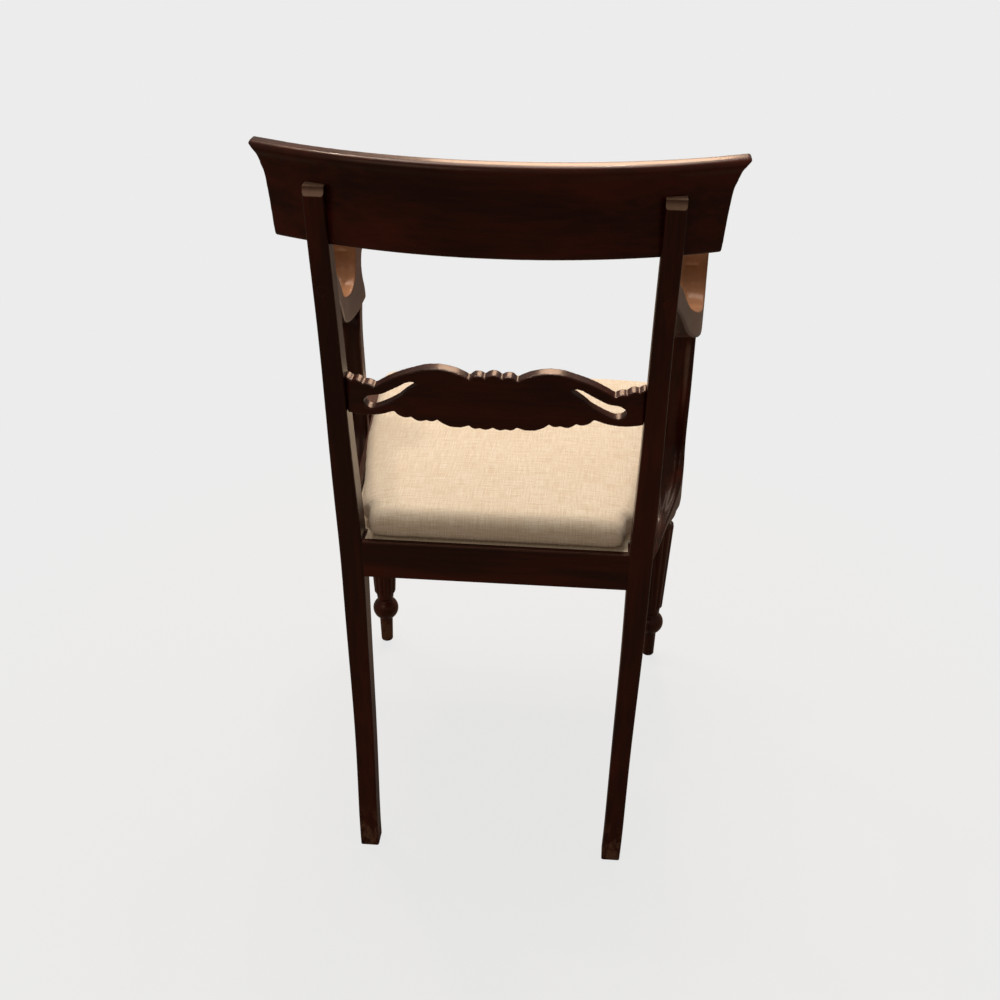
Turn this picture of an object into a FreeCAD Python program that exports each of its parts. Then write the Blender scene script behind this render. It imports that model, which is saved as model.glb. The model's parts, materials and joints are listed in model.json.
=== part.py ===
import FreeCAD, Part
import math
import os

os.makedirs("parts", exist_ok=True)
V = FreeCAD.Vector

# Frame: +Z up from the floor, the chair faces -Y, X runs across it, millimetres.
# While the pieces are shaped, the back of the posts at seat height lies in the plane Y = 0;
# write() then centres the chair over the origin.

# Heights
RAIL_TOP = 421.0
REAR_RAIL_BOTTOM = 374.0
SIDE_RAIL_BOTTOM = 347.0
REBATE_FLOOR = 403.0
CREST_BOTTOM = 778.5
CREST_TOP = 868.5
POST_TOP = 838.0

# Clearances
SEAT_SIDE_GAP = 1.5
SEAT_REST_GAP = 0.3
SOFT_GAP = 0.3

# Back post sections: height, inner face, outer face, back face, depth
POST_SECTIONS = (
    (0.0, 143.0, 166.0, 54.0, 26.0),
    (75.0, 146.0, 169.2, 38.5, 27.0),
    (205.0, 150.0, 174.0, 15.0, 29.0),
    (300.0, 152.3, 178.0, 4.5, 31.0),
    (400.0, 153.4, 180.4, 0.0, 32.0),
    (480.0, 155.8, 182.0, 4.0, 31.0),
    (620.0, 159.3, 182.3, 17.0, 27.0),
    (778.5, 162.6, 184.0, 34.0, 24.0),
    (POST_TOP, 163.6, 184.6, 38.5, 23.0),
)
POST_ARRIS = 2.6

# Bow shared by the crest and the mid rail
BOW_RADIUS = 526.0
CREST_BACK = 54.0
CREST_THICKNESS = 20.0
CREST_HALF_TOP = 245.5
CREST_HALF_BOTTOM = 222.5
CREST_BEAD = 6.5
CREST_BEAD_PROUD = 2.5
MID_BACK = 35.0
MID_THICKNESS = 17.0

# Seat rails
REAR_RAIL_BACK = -1.0
RAIL_THICKNESS = 26.0
SIDE_THICKNESS = 24.0
LIP = 8.5
SIDE_REAR_X = 178.0
SIDE_REAR_Y = -16.0
SIDE_FLARE = 0.0683
FRONT_RAIL_FACE = -425.0
TENON = 9.0

# Front leg
LEG_X = 206.0
LEG_Y = -404.0
BLOCK = 50.0
BLOCK_BOTTOM = 319.0
RING_RADIUS = BLOCK / 2 - 0.4
REEDS = 12
TAPER_TOP = 237.0
TAPER_BOTTOM = 88.0
TAPER_TOP_RADIUS = 23.5
TAPER_BOTTOM_RADIUS = 16.0
BALL_HEIGHT = 60.0
BALL_RADIUS = 19.5
PEG_RADIUS = 10.0

# Arm and its support
ARM_SCREW_HEIGHT = 731.0
ARM_SCREW_X = 174.0
ARM_SEAT = 600.0
FLUTE_RADIUS = 16.0
ARM_FLUTE_X = 212.0
ARM_FLUTE_DEPTH = 2.9
SUPPORT_FLUTE_X = 211.5
SUPPORT_FLUTE_DEPTH = 2.7
SUPPORT_FRONT = -300.0
DOWEL_RADIUS = 4.0
DOWEL_LENGTH = 16.0

# Drop-in seat
FRAME_THICKNESS = 15.7
FRAME_WIDTH = 48.0
FRAME_REAR = -10.5
STRAP_WIDTH = 45.0
STRAP_THICKNESS = 1.2
CUSHION_HEIGHT = 44.0

FRAME_BOTTOM = REBATE_FLOOR + SEAT_REST_GAP
FRAME_TOP = FRAME_BOTTOM + FRAME_THICKNESS
CUSHION_BOTTOM = FRAME_TOP + 2 * STRAP_THICKNESS + SOFT_GAP


def box(x0, x1, y0, y1, z0, z1):
    """Upright block between two corners."""
    return Part.makeBox(x1 - x0, y1 - y0, z1 - z0, V(x0, y0, z0))


def mirrored(shape):
    """The same piece on the other side of the chair."""
    return shape.mirror(V(0, 0, 0), V(1, 0, 0))


def curve(points):
    """Smooth edge through the points."""
    spline = Part.BSplineCurve()
    spline.interpolate(points)
    return spline.toShape()


def extruded(edges, direction):
    """Solid from a closed chain of edges pushed along a direction."""
    face = Part.Face(Part.Wire(edges))
    return face.extrude(direction)


def plan_prism(points, z0, z1):
    """Straight sided prism over a plan outline."""
    wire = Part.makePolygon([V(x, y, z0) for x, y in points + points[:1]])
    return Part.Face(wire).extrude(V(0, 0, z1 - z0))


def fused(shapes):
    """One clean solid from touching shapes."""
    result = shapes[0]
    for shape in shapes[1:]:
        result = result.fuse(shape)
    return result.removeSplitter()


def screw(start, direction, length, head_radius=4.2, shank_radius=2.0, head=3.0):
    """Countersunk wood screw with its head face at the start point."""
    body = [
        Part.makeCone(head_radius, shank_radius, head, start, direction),
        Part.makeCylinder(shank_radius, length - 6, start, direction),
        Part.makeCone(shank_radius, 0.6, 6, start + direction * (length - 6), direction),
    ]
    return fused(body)


def side_face(y):
    """Outer face of the side rail at a depth."""
    return SIDE_REAR_X + SIDE_FLARE * (SIDE_REAR_Y - y)


def bow_back(x, back):
    """Back surface of a bowed rail at a distance from the middle."""
    return back - BOW_RADIUS + math.sqrt(BOW_RADIUS ** 2 - x * x)


# Back posts

def post_section(height, inner, outer, back, depth):
    """Rounded rectangle across the post."""
    r = POST_ARRIS
    q = r * (1 - math.sqrt(0.5))
    x0, x1, y0, y1 = inner, outer, back - depth, back
    edges = []
    corners = (
        (V(x1 - r, y0, height), V(x1 - q, y0 + q, height), V(x1, y0 + r, height)),
        (V(x1, y1 - r, height), V(x1 - q, y1 - q, height), V(x1 - r, y1, height)),
        (V(x0 + r, y1, height), V(x0 + q, y1 - q, height), V(x0, y1 - r, height)),
        (V(x0, y0 + r, height), V(x0 + q, y0 + q, height), V(x0 + r, y0, height)),
    )
    for i, corner in enumerate(corners):
        edges.append(Part.Arc(*corner).toShape())
        edges.append(Part.LineSegment(corner[2], corners[(i + 1) % 4][0]).toShape())
    return Part.Wire(edges)


def bow_axis_cylinder(back, radius, z0, z1):
    """Round column about the axis of a bowed rail."""
    return Part.makeCylinder(radius, z1 - z0, V(0, back - BOW_RADIUS, z0), V(0, 0, 1))


def back_post_blank():
    """Left post with its sabre leg, lap for the crest and scooped top."""
    blank = Part.makeLoft([post_section(*s) for s in POST_SECTIONS], True)
    lap = bow_axis_cylinder(CREST_BACK, BOW_RADIUS, CREST_BOTTOM, POST_TOP + 10)
    scoop = Part.makeCylinder(27, 60, V(150, 61.5, 842), V(1, 0, 0))
    blank = blank.cut(lap).cut(scoop)
    stub = box(166, 180, 13, 20, CREST_BOTTOM - 1, CREST_BOTTOM + 11)
    return fused([blank, stub])


# Crest rail

def crest_section():
    """Crest cross section: plain faces under a bead along the top edge."""
    r0 = BOW_RADIUS - CREST_THICKNESS
    r1 = BOW_RADIUS
    b = CREST_BEAD
    y = CREST_BACK - BOW_RADIUS
    top, base = CREST_TOP, CREST_BOTTOM
    centre = r1 + CREST_BEAD_PROUD - b
    low = top - b - math.sqrt(b * b - (r1 - centre) ** 2)

    def p(r, z):
        return V(0, y + r, z)

    edges = [
        Part.LineSegment(p(r0 + 1.5, base), p(r1 - 1.5, base)).toShape(),
        Part.LineSegment(p(r1 - 1.5, base), p(r1, base + 1.5)).toShape(),
        Part.LineSegment(p(r1, base + 1.5), p(r1, low - 2 * b)).toShape(),
        Part.Arc(p(r1, low - 2 * b), p(r1 - 1.6, low - b), p(r1, low)).toShape(),
        Part.Arc(p(r1, low), p(centre + b, top - b), p(centre, top)).toShape(),
        Part.LineSegment(p(centre, top), p(r0 + 4, top)).toShape(),
        Part.Arc(p(r0 + 4, top), p(r0 + 1.2, top - 1.2), p(r0, top - 4)).toShape(),
        Part.LineSegment(p(r0, top - 4), p(r0, base + 1.5)).toShape(),
        Part.LineSegment(p(r0, base + 1.5), p(r0 + 1.5, base)).toShape(),
    ]
    return Part.Face(Part.Wire(edges))


def bowed_ring(face, back):
    """Cross section swept about the bow axis, wide enough for the whole back."""
    axis = V(0, back - BOW_RADIUS, 0)
    start = face.rotate(axis, V(0, 0, 1), -32)
    return start.revolve(axis, V(0, 0, 1), 64)


def crest_outline():
    """Front view of the crest, ends swept out to the top tips."""
    a, b = CREST_HALF_BOTTOM, CREST_HALF_TOP
    z0, z1 = CREST_BOTTOM, CREST_TOP

    def side(s):
        pts = [V(s * x, -120, z) for x, z in (
            (a, z0 - 1), (a + 2.6, z0 + 26), (a + 5.2, z0 + 50), (a + 8.6, z0 + 67),
            (a + 15.5, z0 + 80), (b, z1 - 3))]
        return pts

    left, right = side(1), side(-1)
    edges = [
        Part.LineSegment(right[0], left[0]).toShape(),
        curve(left),
        Part.LineSegment(left[-1], V(b - 3, -120, z1 + 1)).toShape(),
        Part.LineSegment(V(b - 3, -120, z1 + 1), V(3 - b, -120, z1 + 1)).toShape(),
        Part.LineSegment(V(3 - b, -120, z1 + 1), right[-1]).toShape(),
        curve(right),
    ]
    return extruded(edges, V(0, 260, 0))


def crest_rail(post_left, post_right):
    """Bowed crest with a mortise in its lower edge for each post."""
    crest = bowed_ring(crest_section(), CREST_BACK).common(crest_outline())
    return crest.cut(post_left).cut(post_right)


# Mid rail

MID_TOP = (
    # each run is start, crown, end of one carved lobe, from the middle outwards
    ((0.0, 650.4), None, (8.8, 646.3)),
    ((8.8, 646.3), (16.8, 648.9), (24.6, 644.0)),
    ((24.6, 644.0), (54.0, 653.0), (83.0, 647.6)),
    ((83.0, 647.6), (106.0, 637.6), (127.0, 624.0)),
    ((127.0, 624.0), (132.6, 626.8), (139.4, 625.8)),
    ((139.4, 625.8), (145.6, 629.2), (151.8, 627.6)),
    ((151.8, 627.6), (157.0, 630.2), (162.0, 630.6)),
)
MID_BOTTOM = (
    ((0.0, 590.8), (7.2, 587.9), (14.0, 589.6)),
    ((14.0, 589.6), (19.8, 588.0), (25.0, 592.0)),
    ((25.0, 592.0), (42.0, 588.2), (59.0, 595.6)),
    ((59.0, 595.6), (65.0, 592.6), (71.0, 593.8)),
    ((71.0, 593.8), (79.0, 591.4), (87.0, 595.6)),
    ((87.0, 595.6), (97.0, 594.0), (106.0, 600.0)),
    ((106.0, 600.0), (124.0, 592.6), (162.0, 590.6)),
)
MID_OPENING = (
    (81.6, 634.6), (90.0, 634.4), (100.0, 628.6), (111.0, 621.8), (122.0, 616.0),
    (134.0, 612.6), (140.0, 605.0), (134.0, 599.4), (122.0, 602.0), (111.0, 608.4),
    (100.0, 616.2), (89.0, 626.0),
)


def lobe_edges(runs, s):
    """Chain of arcs along a scalloped edge on one side."""
    edges = []
    for start, crown, end in runs:
        p, q = V(s * start[0], -60, start[1]), V(s * end[0], -60, end[1])
        if crown is None:
            mid = V(s * 4.8, -60, 649.2)
        else:
            mid = V(s * crown[0], -60, crown[1])
        edges.append(Part.Arc(p, mid, q).toShape())
    return edges


def mid_rail_blank():
    """Bowed, scalloped and pierced rail before its ends are fitted."""
    y = MID_BACK - BOW_RADIUS
    r0, r1 = BOW_RADIUS - MID_THICKNESS, BOW_RADIUS
    wire = Part.makePolygon([V(0, y + r, z) for r, z in (
        (r0, 580), (r1, 580), (r1, 660), (r0, 660), (r0, 580))])
    ring = bowed_ring(Part.Face(wire), MID_BACK)
    edges = lobe_edges(MID_TOP, 1) + lobe_edges(MID_TOP, -1)
    edges += lobe_edges(MID_BOTTOM, 1) + lobe_edges(MID_BOTTOM, -1)
    for s in (1, -1):
        top, low = MID_TOP[-1][2], MID_BOTTOM[-1][2]
        edges.append(Part.LineSegment(V(s * top[0], -60, top[1]), V(s * low[0], -60, low[1])).toShape())
    outline = Part.Face(Part.Wire(Part.__sortEdges__(edges))).extrude(V(0, 160, 0))
    rail = ring.common(outline)
    for s in (1, -1):
        spline = Part.BSplineCurve()
        spline.interpolate([V(s * x, -60, z) for x, z in MID_OPENING], True)
        opening = Part.Face(Part.Wire([spline.toShape()])).extrude(V(0, 160, 0))
        rail = rail.cut(opening)
    return rail


def leaf_veins():
    """Shallow gouge cuts on the front face, one running in from each notch."""
    cuts = []
    notches = ((8.8, 646.3, 4.0, 628.0), (24.6, 644.0, 14.0, 622.0), (14.0, 589.6, 9.0, 606.0),
               (25.0, 592.0, 22.0, 612.0), (59.0, 595.6, 42.0, 616.0), (71.0, 593.8, 54.0, 622.0),
               (87.0, 595.6, 66.0, 628.0))
    for x0, z0, x1, z1 in notches:
        for s in (1, -1):
            front = [V(s * x, bow_back(x, MID_BACK) - MID_THICKNESS, z) for x, z in ((x0, z0), (x1, z1))]
            step = front[1] - front[0]
            start = front[0] - step * 0.15 + V(0, -0.6, 0)
            cuts.append(Part.makeCone(2.2, 0.8, step.Length * 1.15, start, step))
    return cuts


def mid_rail(post_left, post_right):
    """Mid rail cut back to the posts, with a tenon at each end."""
    rail = mid_rail_blank()
    for cut in leaf_veins():
        rail = rail.cut(cut)
    rail = rail.cut(post_left).cut(post_right)
    tenons = [mid_tenon(), mirrored(mid_tenon())]
    return fused([rail] + tenons)


def mid_tenon():
    """Left tenon of the mid rail."""
    return box(157.5, 172.0, -3.5, 5.5, 597.0, 622.0)


# Seat rails

def rear_tenon():
    """Left tenon of the rear rail, kept to the back half of the post."""
    return box(152.0, 168.0, -13.5, -5.0, REAR_RAIL_BOTTOM + 6, RAIL_TOP - 8)


def side_tenon_rear():
    """Tenon of the left side rail into the front of the post."""
    return box(161.0, 161.0 + TENON, -34.0, -16.0, SIDE_RAIL_BOTTOM + 8, REBATE_FLOOR - 4)


def side_tenon_front():
    """Tenon of the left side rail into the leg block."""
    shoulder = LEG_Y + BLOCK / 2
    return box(187.0, 187.0 + TENON, shoulder - 20, shoulder + 2, SIDE_RAIL_BOTTOM + 8, REBATE_FLOOR - 4)


def front_tenon():
    """Left tenon of the front rail into the leg block."""
    shoulder = LEG_X - BLOCK / 2
    return box(shoulder - 2, shoulder + 20, -418.0, -418.0 + TENON, SIDE_RAIL_BOTTOM + 8, REBATE_FLOOR - 4)


def seat_outline(gap):
    """Plan of the drop-in seat frame, notched round the back posts, grown by a gap."""
    rear = FRAME_REAR + gap
    front = FRONT_RAIL_FACE + LIP + SEAT_SIDE_GAP - gap
    inner = POST_SECTIONS[4][1] - SEAT_SIDE_GAP
    notch = POST_SECTIONS[4][3] - POST_SECTIONS[4][4] - 2.5

    def edge(y):
        return side_face(y) - LIP - SEAT_SIDE_GAP + gap

    half = [(inner, rear), (inner, notch + gap), (edge(notch), notch + gap), (edge(front), front)]
    return half + [(-x, y) for x, y in reversed(half)]


def seat_recess():
    """Space cut from the rails and leg blocks for the seat frame."""
    return plan_prism(seat_outline(SEAT_SIDE_GAP), REBATE_FLOOR, RAIL_TOP + 5)


def rear_seat_rail(post_left, post_right):
    """Straight rear rail between the posts, with a rebate for the seat."""
    rail = box(-158, 158, REAR_RAIL_BACK - RAIL_THICKNESS, REAR_RAIL_BACK, REAR_RAIL_BOTTOM, RAIL_TOP)
    edge = [e for e in rail.Edges if abs(e.CenterOfMass.y - REAR_RAIL_BACK) < 0.01
            and abs(e.CenterOfMass.z - RAIL_TOP) < 0.01]
    rail = rail.makeChamfer(1.4, edge)
    rail = rail.cut(post_left).cut(post_right).cut(seat_recess())
    return fused([rail, rear_tenon(), mirrored(rear_tenon())])


def side_seat_rail(post, leg):
    """Left side rail, flared towards the front."""
    y0, y1 = -26.0, -390.0
    outline = [(side_face(y0), y0), (side_face(y1), y1),
               (side_face(y1) - SIDE_THICKNESS, y1), (side_face(y0) - SIDE_THICKNESS, y0)]
    rail = plan_prism(outline, SIDE_RAIL_BOTTOM, RAIL_TOP)
    rail = rail.cut(post).cut(leg).cut(seat_recess())
    rail = max(rail.Solids, key=lambda s: s.Volume)
    return fused([rail, side_tenon_rear(), side_tenon_front()])


def front_seat_rail(leg_left, leg_right):
    """Front rail between the leg blocks."""
    rail = box(-190, 190, FRONT_RAIL_FACE, FRONT_RAIL_FACE + RAIL_THICKNESS, SIDE_RAIL_BOTTOM, RAIL_TOP)
    rail = rail.cut(leg_left).cut(leg_right).cut(seat_recess())
    rail = max(rail.Solids, key=lambda s: s.Volume)
    return fused([rail, front_tenon(), mirrored(front_tenon())])


# Front legs

def reed_wire(radius, height):
    """Ring of arcs: the cross section of the reeded shaft."""
    edges = []
    step = 2 * math.pi / REEDS
    root = radius * 0.9

    def p(r, a):
        return V(LEG_X + r * math.cos(a), LEG_Y + r * math.sin(a), height)

    for i in range(REEDS):
        a = i * step
        edges.append(Part.Arc(p(root, a), p(radius, a + step / 2), p(root, a + step)).toShape())
    return Part.Wire(edges)


def turned(points):
    """Solid turned about the leg axis from radius and height pairs; a third value bulges."""
    edges = []
    previous = V(LEG_X, LEG_Y, points[0][1])
    for point in points:
        here = V(LEG_X + point[0], LEG_Y, point[1])
        if len(point) == 4:
            edges.append(Part.Arc(previous, V(LEG_X + point[2], LEG_Y, point[3]), here).toShape())
        elif (here - previous).Length > 1e-6:
            edges.append(Part.LineSegment(previous, here).toShape())
        previous = here
    end = V(LEG_X, LEG_Y, points[-1][1])
    edges.append(Part.LineSegment(previous, end).toShape())
    edges.append(Part.LineSegment(end, V(LEG_X, LEG_Y, points[0][1])).toShape())
    face = Part.Face(Part.Wire(edges))
    return face.revolve(V(LEG_X, LEG_Y, 0), V(0, 0, 1), 360)


def leg_foot():
    """Peg foot, ball and the neck under the reeds."""
    return turned((
        (PEG_RADIUS - 3.0, 0.0),
        (PEG_RADIUS - 1.0, 3.0, PEG_RADIUS - 1.6, 0.9),
        (PEG_RADIUS, BALL_HEIGHT - 18.0),
        (PEG_RADIUS + 2.5, BALL_HEIGHT - 15.5),
        (BALL_RADIUS, BALL_HEIGHT, BALL_RADIUS - 1.8, BALL_HEIGHT - 8.5),
        (PEG_RADIUS + 2.5, BALL_HEIGHT + 14.0, BALL_RADIUS - 2.0, BALL_HEIGHT + 8.0),
        (PEG_RADIUS + 2.5, TAPER_BOTTOM - 8.0, PEG_RADIUS + 1.2, TAPER_BOTTOM - 11.0),
        (PEG_RADIUS + 3.5, TAPER_BOTTOM + 2.0),
    ))


def leg_shaft():
    """Reeded taper with the ends of the reeds rounded over."""
    reeds = Part.makeLoft([reed_wire(TAPER_BOTTOM_RADIUS, TAPER_BOTTOM),
                           reed_wire(TAPER_TOP_RADIUS, TAPER_TOP)], True, True)
    ends = turned((
        (TAPER_BOTTOM_RADIUS - 4.5, TAPER_BOTTOM),
        (TAPER_BOTTOM_RADIUS + 1.0, TAPER_BOTTOM + 6.5, TAPER_BOTTOM_RADIUS - 0.8, TAPER_BOTTOM + 2.0),
        (TAPER_TOP_RADIUS + 1.0, TAPER_TOP - 8.0),
        (TAPER_TOP_RADIUS - 5.0, TAPER_TOP, TAPER_TOP_RADIUS - 1.0, TAPER_TOP - 2.6),
    ))
    return reeds.common(ends)


def leg_rings():
    """Ball and two rings between the reeds and the square block."""
    neck = TAPER_TOP_RADIUS - 6.0
    levels = ((TAPER_TOP + 5.0, 279.0), (281.0, 297.0), (299.0, 315.0))
    points = [(neck, TAPER_TOP - 2.0)]
    for low, high in levels:
        points.append((neck, low))
        points.append((neck, high, RING_RADIUS, (low + high) / 2))
    points.append((neck, BLOCK_BOTTOM + 1.0))
    return turned(points)


def leg_block():
    """Square block that takes the rails, with softened lower edge."""
    h = BLOCK / 2
    block = box(LEG_X - h, LEG_X + h, LEG_Y - h, LEG_Y + h, BLOCK_BOTTOM, RAIL_TOP)
    edges = [e for e in block.Edges if abs(e.CenterOfMass.z - BLOCK_BOTTOM) < 0.01]
    return block.makeChamfer(2.0, edges)


def front_leg_blank():
    """Left front leg before its mortises are cut."""
    return fused([leg_foot(), leg_shaft(), leg_rings(), leg_block()])


# Arms and supports

ARM_TOP_LINE = (
    (12.0, 750.0), (-3.0, 743.0), (-40.0, 722.0), (-85.0, 692.0), (-130.0, 668.0), (-175.0, 650.0),
    (-212.0, 641.5), (-236.0, 644.0), (-250.0, 658.0), (-254.5, 678.0), (-259.0, 697.0), (-271.0, 711.0),
    (-288.0, 716.0), (-306.0, 710.0), (-317.0, 694.0), (-315.0, 676.0), (-303.0, 666.0),
)
ARM_UNDER_LINE = (
    (-303.0, 666.0), (-293.0, 660.0), (-290.0, 646.0), (-297.0, 628.0), (-306.0, 612.0), (-307.0, ARM_SEAT),
)
ARM_BELLY_LINE = (
    (-262.0, ARM_SEAT), (-232.0, 603.0), (-196.0, 611.0), (-150.0, 628.0), (-105.0, 652.0), (-60.0, 682.0),
    (-3.0, 716.0), (12.0, 724.0),
)
ARM_INNER_PLAN = ((162.0, 12.0), (165.0, -3.0), (173.0, -62.0), (183.5, -125.0), (191.5, -185.0),
                  (194.0, -240.0), (194.0, -330.0))
ARM_OUTER_PLAN = ((230.0, -330.0), (230.0, -240.0), (223.0, -185.0), (210.0, -125.0), (197.0, -62.0),
                  (185.5, -3.0), (182.5, 12.0))


def profile_solid(lines, x0, x1):
    """Shape sawn to a side view: closed chain of curves pushed across."""
    edges = []
    for i, line in enumerate(lines):
        points = [V(x0, y, z) for y, z in line]
        if len(points) == 2:
            edges.append(Part.LineSegment(*points).toShape())
        else:
            edges.append(curve(points))
        nxt = lines[(i + 1) % len(lines)][0]
        if (V(x0, *nxt) - points[-1]).Length > 1e-6:
            edges.append(Part.LineSegment(points[-1], V(x0, *nxt)).toShape())
    return extruded(edges, V(x1 - x0, 0, 0))


def plan_solid(lines, z0, z1):
    """Shape sawn to a plan view: closed chain of curves pushed up."""
    edges = []
    for i, line in enumerate(lines):
        points = [V(x, y, z0) for x, y in line]
        edges.append(curve(points) if len(points) > 2 else Part.LineSegment(*points).toShape())
        nxt = lines[(i + 1) % len(lines)][0]
        if (V(*nxt, z0) - points[-1]).Length > 1e-6:
            edges.append(Part.LineSegment(points[-1], V(*nxt, z0)).toShape())
    return extruded(edges, V(0, 0, z1 - z0))


def flute_cutter(path):
    """Round cutter swept along the centres of a hollow."""
    spine = curve([V(*p) for p in path])
    tangent = spine.tangentAt(spine.FirstParameter)
    ring = Part.Wire([Part.Circle(V(*path[0]), tangent, FLUTE_RADIUS).toShape()])
    return Part.Wire([spine]).makePipeShell([ring], True, True)


def hollow_path(line, depths, centres):
    """Cutter centres standing off a side line so the hollow has the given depths."""
    path = []
    for i, depth in enumerate(depths):
        (y0, z0), (y1, z1) = line[max(i - 1, 0)], line[min(i + 1, len(line) - 1)]
        length = math.hypot(y1 - y0, z1 - z0)
        ny, nz = -(z1 - z0) / length, (y1 - y0) / length
        stand = FLUTE_RADIUS - depth
        path.append((centres[i], line[i][0] + ny * stand, line[i][1] + nz * stand))
    return path


def arm_flute():
    """Hollow on the arm: starts as a point in the dip and runs up over the scroll."""
    line = [(y, z) for y, z in reversed(ARM_TOP_LINE[4:])]
    full = ARM_FLUTE_DEPTH
    depths = [full] * 9 + [full * 0.55, -0.4, -4.0, -9.0]
    return flute_cutter(hollow_path(line, depths[:len(line)], [ARM_FLUTE_X] * len(line)))


def arm(post, support):
    """Left arm from the post down to its dip, up and over the front scroll."""
    side = profile_solid((ARM_TOP_LINE, ARM_UNDER_LINE, (ARM_UNDER_LINE[-1], ARM_BELLY_LINE[0]),
                          ARM_BELLY_LINE), 150, 240)
    plan = plan_solid((ARM_INNER_PLAN, ARM_OUTER_PLAN), 590, 760)
    body = side.common(plan).cut(arm_flute())
    body = body.cut(post).cut(support)
    return max(body.Solids, key=lambda s: s.Volume)


SUPPORT_REAR_LINE = (
    (-284.0, ARM_SEAT), (-272.0, 595.0), (-265.0, 582.0), (-264.0, 565.0), (-267.5, 530.0), (-274.0, 490.0),
    (-281.0, 450.0), (-281.5, 424.0), (-271.0, 402.0), (-253.0, 384.0), (-229.0, 368.0), (-200.0, 357.5),
    (-165.0, 352.0), (-112.0, 348.5),
)
SUPPORT_FRONT_LINE = (
    (-258.0, SIDE_RAIL_BOTTOM), (-280.0, 358.0), (-297.0, 378.0), (-305.0, 403.0), (-306.0, 430.0),
    (-302.0, 470.0), (-296.0, 520.0), (-291.0, 560.0), (-294.0, 582.0), (-304.0, ARM_SEAT),
)
SUPPORT_OUTER_PLAN = ((226.0, -330.0), (226.0, -290.0), (225.5, -266.0), (219.0, -240.0), (207.5, -203.0),
                      (198.0, -160.0), (186.5, -112.0))


def support_flute():
    """Hollow up the rear face of the support, starting as a point near the rail edge."""
    line = list(reversed(SUPPORT_REAR_LINE))[1:]
    full = SUPPORT_FLUTE_DEPTH
    depths = [-6.0, -0.6, full * 0.45] + [full] * 10
    centres = [193.0, 198.5, 203.0, 207.5, 210.5] + [SUPPORT_FLUTE_X] * 8
    path = hollow_path(line, depths[:len(line)], centres[:len(line)])
    mirrored_path = []
    for i, (x, y, z) in enumerate(path):
        y0, z0 = line[i]
        mirrored_path.append((x, 2 * y0 - y, 2 * z0 - z))
    return flute_cutter(mirrored_path)


def support_dowel():
    """Round tenon from the top of the support into the arm."""
    start = V(SUPPORT_FLUTE_X, -294, ARM_SEAT - 6)
    return Part.makeCylinder(DOWEL_RADIUS, DOWEL_LENGTH + 6, start, V(0, 0, 1))


def arm_support():
    """Left support: hollowed ribbon that sweeps back along the side rail."""
    tip = SUPPORT_REAR_LINE[-1]
    side = profile_solid((SUPPORT_REAR_LINE, (tip, (tip[0], SIDE_RAIL_BOTTOM)),
                          ((tip[0], SIDE_RAIL_BOTTOM), SUPPORT_FRONT_LINE[0]), SUPPORT_FRONT_LINE), 170, 240)
    inner = ((side_face(-112), -112.0), (side_face(-330), -330.0))
    plan = plan_solid((SUPPORT_OUTER_PLAN, inner), 340, 610)
    body = side.common(plan).cut(support_flute())
    body = max(body.Solids, key=lambda s: s.Volume)
    return fused([body, support_dowel()])


# Fixings

def arm_screw():
    """Screw through the left post into the arm."""
    return screw(V(ARM_SCREW_X, 22.5, ARM_SCREW_HEIGHT), V(0, -1, 0), 52)


def arm_plug(post_blank):
    """Round plug over the screw head, cut flush with the back of the post."""
    plug = Part.makeCylinder(5.5, 14, V(ARM_SCREW_X, 22.5, ARM_SCREW_HEIGHT), V(0, 1, 0))
    return plug.common(post_blank)


def support_screws():
    """Two screws from inside the side rail into the left support."""
    result = []
    for y, z in ((-236.0, 360.0), (-286.0, 392.0)):
        x = side_face(y) - SIDE_THICKNESS
        result.append(screw(V(x + 0.6, y, z), V(1, 0, 0), 38))
    return result


def corner_block_rear(post, rear, side):
    """Glue block in the left rear corner of the seat."""
    inner = side_face(-80) - SIDE_THICKNESS
    outline = [(104, -26), (158, -26), (158, -60), (inner + 1, -80), (inner - 4, -80), (104, -32)]
    block = plan_prism(outline, 362, REBATE_FLOOR - 2.5)
    block = block.cut(rear).cut(side).cut(post)
    return max(block.Solids, key=lambda s: s.Volume)


def corner_block_front(leg, front, side):
    """Glue block in the left front corner of the seat."""
    inner = side_face(-330) - SIDE_THICKNESS
    outline = [(126, -400), (186, -400), (186, -360), (inner + 1, -330), (inner - 4, -330), (126, -394)]
    block = plan_prism(outline, 362, REBATE_FLOOR - 2.5)
    block = block.cut(front).cut(side).cut(leg)
    return max(block.Solids, key=lambda s: s.Volume)


def block_screws():
    """Four screws that hold the two left corner blocks, and the bores over their heads."""
    spots = (
        (V(122, -36.5, 383), V(0, 1, 0), 26), (V(143, -66, 383), V(1, 0, 0), 27),
        (V(142, -389, 383), V(0, -1, 0), 26), (V(160, -348, 383), V(1, 0, 0), 27),
    )
    screws = [screw(p, d, n) for p, d, n in spots]
    bores = [Part.makeCylinder(4.8, 20, p - d * 20, d) for p, d, n in spots]
    return screws, bores


# Drop-in seat

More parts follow.
